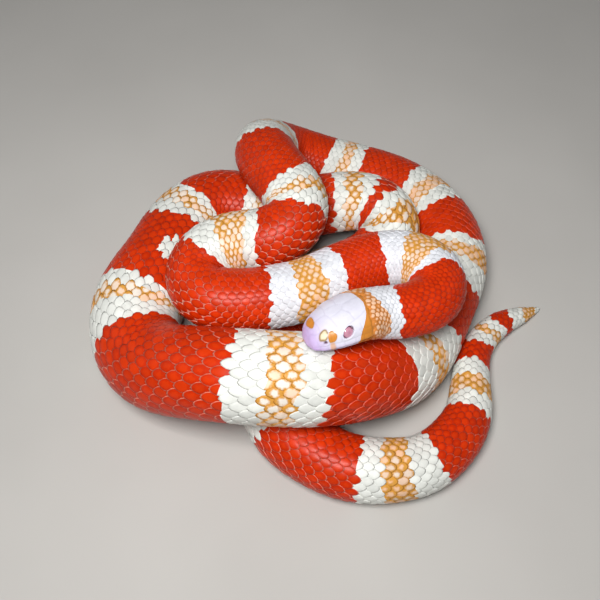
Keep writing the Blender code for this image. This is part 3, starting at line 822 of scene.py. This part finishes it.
def build_skin():
    """Make the one skin of body and head."""
    rows = int((TOTAL - HEAD_LENGTH) / BODY_ROW)
    s = np.linspace(0.4, TOTAL - HEAD_LENGTH - 0.5 * BODY_ROW, rows)
    angle = np.arange(BODY_COLUMNS)[None] * 360 / BODY_COLUMNS + np.zeros((rows, 1))
    place, way, _ = surface(s[:, None] + np.zeros_like(angle), angle)
    body = place - COAT_DEPTH * way
    band = band_at(s[:, None] + np.zeros_like(angle), angle)

    head_rows = int(HEAD_LENGTH / HEAD_ROW) + 1
    back = np.linspace(HEAD_LENGTH, 0, head_rows)
    turns = head_angles(back)
    points, out, rise = outline(TOTAL - back, turns)
    head, seam, recess_shade = carve_head(points, turns, out, rise, back)
    back_grid = np.broadcast_to(back[:, None], out.shape)
    over_mouth = rise - mouth_height(back_grid)
    steps = np.linalg.norm(np.diff(points, axis=1), axis=2)
    from_crown = np.concatenate([np.zeros((head_rows, 1)), np.cumsum(steps, axis=1)], axis=1)
    from_crown = np.where(from_crown > from_crown[:, -1:] / 2, from_crown - from_crown[:, -1:], from_crown)
    head_band, olive, cream, blush = head_markings(back_grid, from_crown)
    head_band = np.minimum(head_band, band_at(TOTAL - back_grid, turns))
    tint = 0.9 * np.exp(-(back_grid / TINT_REACH) ** 2)
    tint = tint + 0.35 * (1 - smooth_step(np.abs(over_mouth), 0.2, 2.0))
    tint = np.clip(tint * (1 - smooth_step(back_grid, 8.0, 16.0)), 0, 1)

    # The tip of the snout closes in a few rings that swell forwards.
    _, forward, _, _, _ = axes_at(np.array([TOTAL]))
    centre = head[-1].mean(axis=0)
    tips = [centre + t * (head[-1] - centre) + SNOUT_SWELL * np.sqrt(1 - t * t) * forward
            for t in SNOUT_RINGS]
    head = np.concatenate([head, np.array(tips)])
    extra = len(tips)
    # The seams' and the recesses' values are painted shade.
    drawn = {"band": head_band, "plated": np.ones_like(head_band), "tint": tint, "olive": olive,
             "cream": cream, "blush": blush, "groove_shade": CREASE_SHADE * seam, "recess_shade": recess_shade}
    drawn = {label: np.concatenate([x, np.repeat(x[-1:], extra, axis=0)]) for label, x in drawn.items()}
    drawn["recess_shade"][-extra:] = 0

    points = np.concatenate([body.reshape(-1, 3), head.reshape(-1, 3)])
    first = rows * BODY_COLUMNS
    quads = np.concatenate([wrap_grid(rows, BODY_COLUMNS), wrap_grid(len(head), HEAD_COLUMNS, first)])
    # Where the parts join, each edge of the body's last ring meets three edges of the head's first.
    k = np.arange(BODY_COLUMNS)
    low = first - BODY_COLUMNS + k
    following = first - BODY_COLUMNS + (k + 1) % BODY_COLUMNS
    high = [first + (FINER * k + n) % HEAD_COLUMNS for n in range(FINER + 1)]
    triangles = [np.stack([low, high[0], high[1]], -1), np.stack([low, high[2], following], -1),
                 np.stack([low, high[1], high[2]], -1), np.stack([following, high[2], high[3]], -1)]
    tail_end = len(points)
    snout_end = tail_end + 1
    points = np.concatenate([points, body[0].mean(axis=0)[None], (centre + SNOUT_SWELL * forward[0])[None]])
    last = tail_end - HEAD_COLUMNS
    h = np.arange(HEAD_COLUMNS)
    triangles += [np.stack([k, (k + 1) % BODY_COLUMNS, np.full_like(k, tail_end)], -1),
                  np.stack([last + (h + 1) % HEAD_COLUMNS, last + h, np.full_like(h, snout_end)], -1)]
    triangles = np.concatenate(triangles)
    points[:, 2] = np.maximum(points[:, 2], 0)

    # The body carries none of the head's values but the kind of colour. The last two points are the ends.
    on_body = {"band": band.ravel()}
    at_ends = {"band": [WHITE, PLATE], "plated": [0.0, 1.0], "tint": [0.0, 1.0]}
    none = np.zeros(first)
    values = {label: np.concatenate([on_body.get(label, none), x.ravel(), at_ends.get(label, [0.0, 0.0])])
              for label, x in drawn.items()}
    return make_piece("skin", points, quads, triangles, values)


skin = build_skin()
skin.data.materials.append(SKIN_FINISH)
print("faces of the skin:", len(skin.data.polygons))

# %% [markdown]
# The scales.
# The scales stand in slanting rows, each column half a step on from the next. Towards the flanks they grow
# a little broader. One tile shape serves for all: rounded, tucked under at its root, lifted and free at its
# end towards the tail, and thin at the rim. It is laid on the map of the body, so it bends with the skin.
# Where the outer side of a bend is stretched, the tiles keep about their length and the skin shows between.

# %% The lattice
# Distance from the tip of the tail, and the step from scale to scale along the body there.
PITCH = [(0, 1.6), (12, 2.2), (30, 2.6), (60, 2.9), (95, 3.2), (120, 3.5), (150, 3.5), (240, 3.1), (265, 2.9),
         (300, 3.3), (340, 3.7), (362, 4.8), (400, 4.6), (425, 3.7), (480, 3.8), (500, 3.1), (515, 2.7),
         (560, 2.4), (600, 2.4), (640, 2.2), (665, 2.4), (710, 2.8), (730, 2.5), (765, 2.1), (800, 1.9),
         (844, 1.8)]
# Distance from the tip of the tail, and from one column to the next on the back there.
SPACING = [(0, 1.2), (12, 1.8), (30, 2.0), (60, 2.15), (120, 2.2), (240, 2.15), (340, 2.5), (375, 2.9),
           (430, 2.45), (480, 2.5), (515, 2.1), (600, 1.85), (640, 1.85), (670, 2.3), (710, 2.1), (740, 1.7),
           (765, 1.5), (805, 1.5), (844, 1.35)]
DORSAL_ANGLE = 128.0
MOST_COLUMNS = 14
FIRST_ROW = 1.2
FLANK_GROWTH = 0.12
SEED = 7
rng = np.random.default_rng(SEED)


def table_value(table, s):
    """Return a value between the rows of a table of distances and values."""
    steps = np.array(table, float)
    return np.interp(s, steps[:, 0], steps[:, 1])


def row_places():
    """Return the distance of each row of scales from the tip of the tail."""
    places = [FIRST_ROW]
    while places[-1] < TOTAL - min(COAT_LIMITS):
        places.append(places[-1] + float(table_value(PITCH, places[-1])))
    return np.array(places)


def column_angle(number, s):
    """Return the angle of a column of scales at these distances, beyond DORSAL_ANGLE if it has ended."""
    half = section_sizes(s, TOTAL)[:, 0]
    share = DORSAL_ANGLE / (1 + FLANK_GROWTH)
    count = np.radians(share) * half / table_value(SPACING, s)
    x = number / count
    return share * x * (1 + FLANK_GROWTH * x * x)


def lattice():
    """Return distance, angle, step along and half spacing in degrees of every scale on back and flanks."""
    rows = row_places()
    middles = (rows[:-1] + rows[1:]) / 2
    found = []
    for number in range(-MOST_COLUMNS, MOST_COLUMNS + 1):
        s = rows if number % 2 == 0 else middles
        angle = column_angle(abs(number), s)
        spread = (column_angle(abs(number) + 1, s) - column_angle(abs(number) - 1, s)) / 2
        keep = (angle <= DORSAL_ANGLE) & (TOTAL - s > coat_limit(angle))
        angle = angle * (1 if number >= 0 else -1)
        found.append(np.stack([s, angle, table_value(PITCH, s), spread], axis=1)[keep])
    return np.concatenate(found)


places = lattice()
print("scales on back and flanks:", len(places))

# %% [markdown]
# One tile, thousands of times.
# The tile is three rings of points round a middle, with a wall and a floor below, so each scale is a small
# closed solid. Its flat map for baking is a small patch at the scale's place on the unrolled skin.

# %% Lay the scales
TILE_SIDES = 12
TILE_RINGS = (0.45, 0.82, 1.0)
TILE_ROUNDNESS = 1.7
TILE_LENGTH = 0.76
TILE_WIDTH = 0.82
ROOT_HEIGHT = -0.33
FREE_HEIGHT = 0.03
DOME = 0.11
RIM_DROP = 0.05
TILE_THICKNESS = 0.16
FOOT_SHARE = 0.96
SIZE_STRAY = 0.03
LIFT_STRAY = 0.02
# The whites of the neck turn cooler between these distances from the tip of the tail.
COOL_START = 715
COOL_END = 735
# The width of a scale's patch for baking, less than the distance between any two scales on that flat map.
BAKE_PATCH = 0.010
BAKE_MARGIN = 0.02
# Past this stretch of the skin a scale draws in at its sides, by at most this share.
EASY_STRETCH = 1.12
SLIMMING = 0.14
# How much a place's distance from the middle of its scale counts at the edge of a ring, where 0 would give
# a scale nearly one colour, and how far the edge strays from scale to scale.
EDGE_SHARE = 0.45
EDGE_STRAY = 0.6
# Half width of the pale middles, as a share of the tile, by distance from the tip of the tail.
PALE_MIDDLES = [(0, 0.30), (60, 0.36), (100, 0.37), (135, 0.40), (330, 0.43), (430, 0.43), (480, 0.44),
                (505, 0.53), (560, 0.53), (600, 0.45), (700, 0.44), (740, 0.41), (790, 0.42), (810, 0.38),
                (827, 0.38), (831, 0.0), (844, 0.0)]
PALE_STRAY = 0.16
# How many of these middles lean towards peach, by distance.
PEACH_SHARES = [(0, 0.9), (105, 0.9), (130, 0.4), (430, 0.25), (480, 0.4), (505, 0.8), (560, 0.8),
                (600, 0.4), (700, 0.4), (740, 0.9), (844, 1.0)]
# How pale the rims are where the skin lies easy, and the stretch over which they grow fully pale. The pale
# rim is partly a painted highlight.
LEAST_RIM = 0.3
RIM_STRETCH = (1.0, 1.22)
# How strong this pale net of rims and painted highlights is, by distance from the tip of the tail.
NET = [(0, 0.6), (100, 0.8), (330, 0.7), (362, 1.15), (410, 1.0), (425, 0.4), (480, 0.35), (500, 0.3),
       (600, 0.5), (680, 1.15), (720, 1.0), (740, 0.4), (844, 0.3)]


def tile():
    """Return the tile's points as along, across and height, with its quads and triangles."""
    turn = np.arange(TILE_SIDES) * 2 * np.pi / TILE_SIDES
    power = 2 / TILE_ROUNDNESS
    rim = np.stack([np.sign(np.cos(turn)) * np.abs(np.cos(turn)) ** power,
                    np.sign(np.sin(turn)) * np.abs(np.sin(turn)) ** power], axis=1)
    points = [[0.0, 0.0, DOME]]
    for share in TILE_RINGS:
        dome = DOME * (1 - share ** 2) - (RIM_DROP if share == 1.0 else 0)
        points += [[a * share, b * share, dome] for a, b in rim]
    points += [[a * FOOT_SHARE, b * FOOT_SHARE, -TILE_THICKNESS] for a, b in rim]
    points.append([0.0, 0.0, -TILE_THICKNESS])
    k = np.arange(TILE_SIDES)
    after = (k + 1) % TILE_SIDES
    quads = []
    for ring in range(len(TILE_RINGS)):
        inner = 1 + ring * TILE_SIDES
        outer = inner + TILE_SIDES
        quads.append(np.stack([inner + k, outer + k, outer + after, inner + after], -1))
    top = np.stack([np.zeros_like(k), 1 + k, 1 + after], -1)
    low = 1 + len(TILE_RINGS) * TILE_SIDES
    floor = np.stack([np.full_like(k, len(points) - 1), low + after, low + k], -1)
    return np.array(points), np.concatenate(quads), np.concatenate([top, floor])


def lay_scales(name, chosen):
    """Make one piece of the coat from the scales at these places."""
    shape, quads, triangles = tile()
    s, angle, step, spread = (chosen[:, i:i + 1] for i in range(4))
    place, _, stretch = surface(s, angle)
    # Where a bend pulls the skin long, the tiles keep their length and draw in at their sides.
    snug = np.clip(stretch / EASY_STRETCH, 1.0, 2.0) ** -0.8
    slim = 1 - SLIMMING * np.clip((stretch / EASY_STRETCH - 1) / 0.3, 0, 1)
    size = rng.uniform(1 - SIZE_STRAY, 1 + SIZE_STRAY, s.shape)
    along, across = shape[None, :, 0], shape[None, :, 1]
    tile_s = s + along * TILE_LENGTH * step * snug * size
    tile_angle = angle + across * TILE_WIDTH * spread * slim * size
    place, way, _ = surface(tile_s, tile_angle)
    lift = ROOT_HEIGHT + (FREE_HEIGHT - ROOT_HEIGHT) * (1 - along) / 2 + shape[None, :, 2]
    lift = lift + rng.uniform(-LIFT_STRAY, LIFT_STRAY, s.shape)
    points = place + lift[..., None] * way
    points[..., 2] = np.maximum(points[..., 2], 0)
    count = len(shape)
    number = np.arange(len(chosen))[:, None, None] * count
    stray = rng.uniform(-EDGE_STRAY, EDGE_STRAY, s.shape)
    band = band_at(s + stray + EDGE_SHARE * (tile_s - s), tile_angle)
    shade = rng.uniform(0, 1, s.shape)
    nape = np.where(s > NAPE_WHITE, 1.0, 0.0)
    peach = np.maximum(nape, np.clip(table_value(PEACH_SHARES, s) + 1.2 * (shade - 0.5), 0, 1))
    # The pale rims are partly a painted highlight, strongest where the skin is stretched.
    rim = LEAST_RIM + (1 - LEAST_RIM) * smooth_step(stretch, *RIM_STRETCH)
    pale = table_value(PALE_MIDDLES, s) + rng.uniform(-PALE_STRAY, PALE_STRAY, s.shape)
    values = {"band": band, "pale": pale, "peach": peach, "nape": nape, "rim": rim * table_value(NET, s),
              "cool": smooth_step(s, COOL_START, COOL_END)}
    values = {label: np.broadcast_to(x, band.shape).ravel() for label, x in values.items()}
    values["within"] = np.stack(np.broadcast_arrays(along, across, shade), axis=2).reshape(-1, 3)
    root = np.stack([(s - s.min()) / np.ptp(s), (angle + 180) / 360], axis=2)
    spot = np.stack([along, across], axis=2)
    patch = BAKE_MARGIN + (1 - 2 * BAKE_MARGIN) * root + BAKE_PATCH / 2 * spot
    item = make_piece(name, points.reshape(-1, 3), (quads[None] + number).reshape(-1, 4),
                      (triangles[None] + number).reshape(-1, 3), values, patch.reshape(-1, 2))
    item.data.materials.append(SCALE_FINISH)
    return item


STRETCHES = [("scales_tail", 0, 132), ("scales_rear", 132, 262), ("scales_far_left", 262, 372),
             ("scales_front_length", 372, 482), ("scales_outer_right", 482, 598),
             ("scales_left_loop", 598, 722), ("scales_neck", 722, 850)]
coat = []
for label, start, end in STRETCHES:
    here = (places[:, 0] >= start) & (places[:, 0] < end)
    coat.append(lay_scales(label, places[here]))
    print(label, "scales:", here.sum())

# %% [markdown]
# The belly plates.
# Under the body one broad plate follows the next, one to each row of scales, and the snake moves on
# their free hind edges. Under the tail they stand in pairs. They carry the same rings as the back.

# %% Lay the belly plates
SCUTE_EDGE = 120.0
SCUTE_POINTS = 11
SCUTE_LENGTH = 0.70
TAIL_LENGTH = 125.0
SCUTE_DROP = 0.10
PAIR_GAP = 0.02
# The section of a plate, as along and height: root below, root, middle, free end, free end below, floor.
SCUTE_SECTION = [(1.0, -0.46), (0.9, -0.34), (0.0, -0.14), (-0.85, -0.02), (-1.0, -0.08), (-0.95, -0.20)]
# The size of a plate's patch for baking, along the body and round it.
SCUTE_PATCH = (0.0015, 0.003)


def lay_scutes():
    """Make the row of belly plates as closed slabs, in pairs under the tail."""
    rows = row_places()
    rows = rows[TOTAL - rows > min(COAT_LIMITS)]
    slabs = [(s, -1.0, 1.0) for s in rows if s > TAIL_LENGTH]
    slabs += [(s, -1.0, -PAIR_GAP) for s in rows if s <= TAIL_LENGTH]
    slabs += [(s, PAIR_GAP, 1.0) for s in rows if s <= TAIL_LENGTH]
    slabs = np.array(slabs)
    s, low, high = (slabs[:, i].reshape(-1, 1, 1) for i in range(3))
    step = table_value(PITCH, s)
    section = np.array(SCUTE_SECTION)
    across = np.linspace(0, 1, SCUTE_POINTS).reshape(1, -1, 1)
    across = low + (high - low) * across
    taper = np.sqrt(np.clip(1.06 - np.abs(across) ** 4, 0.05, 1))
    along = section[:, 0].reshape(1, 1, -1) * taper
    plate_s = s + SCUTE_LENGTH * step * along
    place, way, _ = surface(plate_s, 180 + across * (180 - SCUTE_EDGE))
    sunk = -SCUTE_DROP * np.abs(across) ** 3
    points = place + (section[:, 1].reshape(1, 1, -1) + sunk)[..., None] * way
    points[..., 2] = np.maximum(points[..., 2], 0)
    sides = len(section)
    quads = wrap_grid(SCUTE_POINTS, sides)
    fan = np.arange(1, sides - 1)
    last = (SCUTE_POINTS - 1) * sides
    caps = np.concatenate([np.stack([0 * fan, fan, fan + 1], -1),
                           last + np.stack([0 * fan, fan + 1, fan], -1)])
    count = SCUTE_POINTS * sides
    number = np.arange(len(slabs))[:, None, None] * count
    band = np.broadcast_to(band_at(s, np.full(s.shape, 180.0)), plate_s.shape)
    shade = rng.uniform(0, 1, s.shape)
    within = np.stack(np.broadcast_arrays(0.5, 0.4, shade, plate_s)[:3], axis=-1)
    root = np.stack([s / TOTAL, 0.5 + 0.4 * low], axis=-1)
    spot = np.stack(np.broadcast_arrays(along, across), axis=-1)
    patch = 0.01 + 0.97 * root + np.array(SCUTE_PATCH) / 2 * spot
    item = make_piece("belly_plates", points.reshape(-1, 3), (quads[None] + number).reshape(-1, 4),
                      (caps[None] + number).reshape(-1, 3),
                      {"band": band.ravel(), "within": within.reshape(-1, 3)},
                      patch.reshape(-1, 2))
    item.data.materials.append(SCALE_FINISH)
    return item


scutes = lay_scutes()
print("faces of the belly plates:", len(scutes.data.polygons))

# %% [markdown]
# The eyes.
# A snake has no eyelids. A clear scale covers each eye, so it is always open and wet. In this colour form
# the iris is pink and the round pupil red, since nothing dark hides the blood behind it.

# %% Build the eyes
EYE_FLATNESS = 0.22
PUPIL_EDGE = 0.955
IRIS_EDGE = 0.70
EYE_SIDES = 40
EYE_RINGS = 26


def eye_finish():
    """A wet eye under its clear cap: pink iris with fine rays, red pupil, a rim darkened with painted shade,
    hard gloss.
    """
    finish, tree, shader = new_finish("wet eye under a clear cap", 0.06, 1.0)
    shader.inputs["Coat Roughness"].default_value = 0.03
    place = add(tree, "ShaderNodeTexCoord").outputs["Object"]
    flecks = noise(tree, place, 2500.0)
    # The dark stops at the edge, where the ball turns into its socket, are painted shade.
    stops = [(0.0, "#5E3444"), (IRIS_EDGE - 0.08, "#6E4052"), (IRIS_EDGE + 0.04, "#BC8094"),
             (PUPIL_EDGE - 0.03, "#C890A2"), (PUPIL_EDGE + 0.02, "#C0869A"), (1.0, "#BC8096")]
    colour = add(tree, "ShaderNodeValToRGB", {"Fac": attribute(tree, "facing")}, stops).outputs["Color"]
    paint(tree, shader, colour, between(tree, flecks, 0.0, 1.0, 0.88, 1.08))
    return finish


def build_eye(name, side, finish):
    """Make one eyeball as rings round the direction in which it looks."""
    centre = head_place(EYE_BACK, side * EYE_OUT, EYE_UP)
    way = way_from_eye(side)
    first = unit(np.cross(way, [0, 0, 1.0]))
    second = np.cross(way, first)
    turns = np.arange(EYE_SIDES) * 2 * np.pi / EYE_SIDES
    lows = np.radians(np.linspace(0, 180, EYE_RINGS + 2)[1:-1])
    circle = np.cos(turns)[:, None] * first + np.sin(turns)[:, None] * second
    rings = [np.sin(low) * circle + np.cos(low) * way for low in lows]
    ball = np.concatenate([np.concatenate(rings), [way, -way]])
    height = ball @ way
    # The clear scale over the eye is flatter than the ball behind it.
    ball -= EYE_FLATNESS * np.clip(height, 0, 1)[:, None] * way
    points = centre + EYE_RADIUS * ball
    facing = np.clip(height, 0, 1)
    k = np.arange(EYE_SIDES)
    after = (k + 1) % EYE_SIDES
    last = (EYE_RINGS - 1) * EYE_SIDES
    caps = [np.stack([np.full_like(k, len(points) - 2), k, after], -1),
            np.stack([np.full_like(k, len(points) - 1), last + after, last + k], -1)]
    quads = wrap_grid(EYE_RINGS, EYE_SIDES)
    item = make_piece(name, points, quads, np.concatenate(caps), {"facing": facing})
    item.data.materials.append(finish)
    return item


EYE_FINISH = eye_finish()
eyes = [build_eye("left_eye", 1, EYE_FINISH), build_eye("right_eye", -1, EYE_FINISH)]
print("eye width in mm:", 2 * EYE_RADIUS)

# %% [markdown]
# Joining the frame.
# The animal is one rigid whole here, so every piece rides on the one body. The skin stands for all the
# nodes of flesh, and each eyeball for its own node.

# %% Ride and replace
flesh = [name for name in frame["nodes"] if not name.startswith("eye_")]
for piece in [skin, scutes] + coat + eyes:
    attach(piece, "root")
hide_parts(*flesh)
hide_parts("eye_left")
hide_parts("eye_right")
print("nodes of flesh under the skin:", len(flesh))

# %% [markdown]
# Floor, light and camera.
# The snake lies on a plain pale floor under soft studio light: one lamp close above the camera, a broad and
# weaker one on each side, and an even pale surround. The camera looks down at 60 degrees.

# %% Floor and lamps
FLOOR_REACH = 3.0
# The lamps' names, places, widths and powers, in metres and watts, and the point that they face.
LAMPS = [("key_lamp", (-0.05, -0.13, 0.34), 0.12, 1.42), ("left_lamp", (-0.65, 0.20, 0.42), 0.50, 0.34),
         ("right_lamp", (0.65, 0.20, 0.42), 0.50, 0.20)]
LAMP_AIM = (0.0, 0.0, 0.02)
SURROUND = {"Color": (0.85, 0.88, 0.92, 1.0), "Strength": 0.10}


def point_at(item, place, aim):
    """Put an object at a place and turn its front towards another."""
    item.location = place
    item.rotation_euler = (Vector(aim) - Vector(place)).to_track_quat("-Z", "Y").to_euler()


def add_lamp(name, place, aim, size, power):
    """Add a soft square lamp that points at a place."""
    data = bpy.data.lights.new(name, "AREA")
    data.size = size
    data.energy = power
    point_at(new_object(name, data), place, aim)


def floor_finish():
    """Matt painted board: pale, with a faint mottle."""
    finish, tree, shader = new_finish("matt painted board", 0.85, 0.0, 0.2)
    place = add(tree, "ShaderNodeTexCoord").outputs["Object"]
    stops = [(0.3, "#B7B4AF"), (0.7, "#BEBBB6")]
    colour = add(tree, "ShaderNodeValToRGB", {"Fac": noise(tree, place, 12.0, 3.0)}, stops).outputs["Color"]
    tree.links.new(colour, shader.inputs["Base Color"])
    return finish


mesh = bpy.data.meshes.new("floor")
corners = [(x * FLOOR_REACH, y * FLOOR_REACH, 0) for x, y in ((-1, -1), (1, -1), (1, 1), (-1, 1))]
mesh.from_pydata(corners, [], [(0, 1, 2, 3)])
floor = new_object("floor", mesh)
floor.data.materials.append(floor_finish())

for name, place, width, power in LAMPS:
    add_lamp(name, place, LAMP_AIM, width, power)
world = bpy.data.worlds.new("studio")
world.use_nodes = True
for socket, value in SURROUND.items():
    world.node_tree.nodes["Background"].inputs[socket].default_value = value
bpy.context.scene.world = world
bpy.context.scene.view_settings.view_transform = "Standard"

# %% Camera
CAMERA_PLACE = (-0.0075, -0.1362, 0.2425)
CAMERA_AIM = (-0.0075, 0.0038, 0.0)
LENS = 46.2
SENSOR = 36.0
data = bpy.data.cameras.new("camera")
data.lens = LENS
data.sensor_width = SENSOR
data.clip_start = 0.01
camera = new_object("camera", data)
point_at(camera, CAMERA_PLACE, CAMERA_AIM)
bpy.context.scene.camera = camera
print("lens in mm:", LENS)
